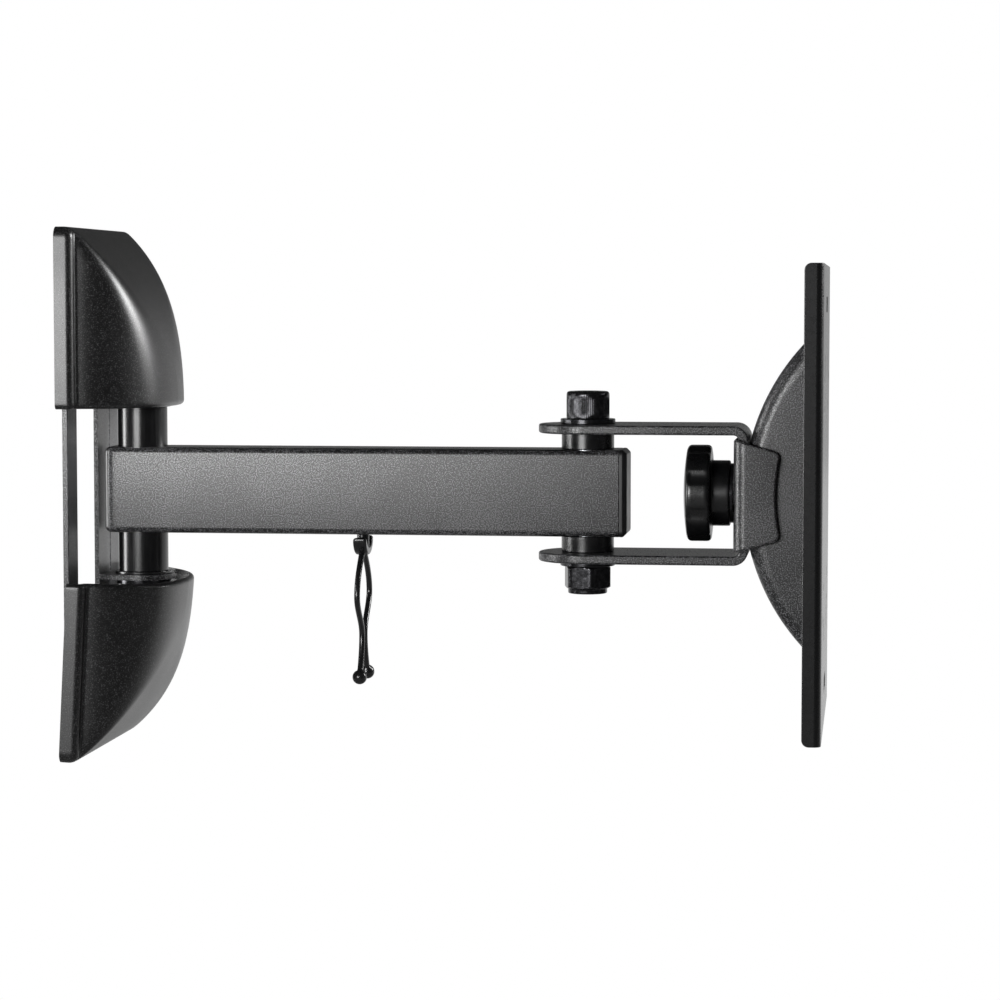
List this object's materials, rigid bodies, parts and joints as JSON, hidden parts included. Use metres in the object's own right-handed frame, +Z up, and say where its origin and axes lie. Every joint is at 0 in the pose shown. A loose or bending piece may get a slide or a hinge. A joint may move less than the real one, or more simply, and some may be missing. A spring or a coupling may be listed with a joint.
{
  "type": "full motion tv wall mount",
  "caption": "Single-arm TV wall mount: wall bracket with cover shells, swinging tube arm, swivelling yoke and a tilting screen plate clamped by a hand knob.",
  "frame": {"origin": "on the wall surface, at the centre of the four wall screw holes", "axes": "+X away from the wall towards the screen, +Y sideways, +Z up"},
  "size_m": [0.328, 0.16, 0.2317],
  "materials": {
    "powder_coated_steel": "black fine-textured powder coat",
    "satin_black_paint": "smooth satin black paint",
    "black_zinc_fasteners": "black oxide steel, oiled",
    "plated_fasteners": "bright zinc plate",
    "gloss_black_steel": "gloss black enamelled tube",
    "moulded_abs": "spark-grained black ABS",
    "black_nylon": "satin black nylon",
    "knob_plastic": "satin-gloss black nylon",
    "end_cap_plastic": "black polyethylene",
    "brass_insert": "turned brass"
  },
  "bodies": {
    "wall_bracket": {"wall_plate": "powder_coated_steel", "pivot_bracket": "powder_coated_steel", "bracket_screws": "plated_fasteners", "bracket_nuts": "plated_fasteners", "upper_cover": "moulded_abs", "lower_cover": "moulded_abs", "rear_pivot_bolt": "black_zinc_fasteners", "rear_pivot_washers": "black_zinc_fasteners", "rear_pivot_nut": "black_zinc_fasteners"},
    "arm": {"arm_tube": "powder_coated_steel", "rear_end_cap": "end_cap_plastic", "front_end_cap": "end_cap_plastic", "rear_sleeve": "gloss_black_steel", "front_sleeve": "plated_fasteners", "rear_upper_bush": "black_nylon", "rear_lower_bush": "black_nylon", "front_upper_bush": "black_nylon", "front_lower_bush": "black_nylon"},
    "cable_clip": {"cable_clip": "black_nylon"},
    "yoke": {"yoke": "powder_coated_steel", "front_bolt": "black_zinc_fasteners", "front_washers": "black_zinc_fasteners", "front_nut": "black_zinc_fasteners", "front_nut_insert": "black_nylon", "tilt_saddle": "plated_fasteners", "tilt_bolt": "plated_fasteners"},
    "clamp": {"clamp_washer": "black_zinc_fasteners"},
    "knob": {"knob": "knob_plastic", "knob_insert": "brass_insert"},
    "head": {"vesa_plate": "satin_black_paint", "tilt_dome": "powder_coated_steel"}
  },
  "joints": [
    {"name": "arm_swing", "type": "hinge", "parent": "wall_bracket", "child": "arm", "pos_m": [0.025, 0, 0], "axis": [0, 0, 1], "range_deg": [-90, 90]},
    {"name": "clip_swivel", "type": "hinge", "parent": "arm", "child": "cable_clip", "pos_m": [0.1245, 0, -0.02], "axis": [0, 0, 1], "range_deg": [-90, 90]},
    {"name": "head_swivel", "type": "hinge", "parent": "arm", "child": "yoke", "pos_m": [0.2244, 0, 0], "axis": [0, 0, 1], "range_deg": [-90, 90]},
    {"name": "head_tilt", "type": "hinge", "parent": "yoke", "child": "head", "pos_m": [0.389, 0, 0], "axis": [0, 1, 0], "range_deg": [-20, 20]},
    {"name": "clamp_back_off", "type": "slide", "parent": "yoke", "child": "clamp", "axis": [-1, 0, 0], "range_m": [0, 0.00125]},
    {"name": "knob_turn", "type": "hinge", "parent": "clamp", "child": "knob", "pos_m": [0.272, 0, 0], "axis": [-1, 0, 0], "range_deg": [0, 360]}
  ],
  "couplings": [
    {"joint": "clamp_back_off", "follows": "knob_turn", "m_per_rad": 0.00019894}
  ]
}
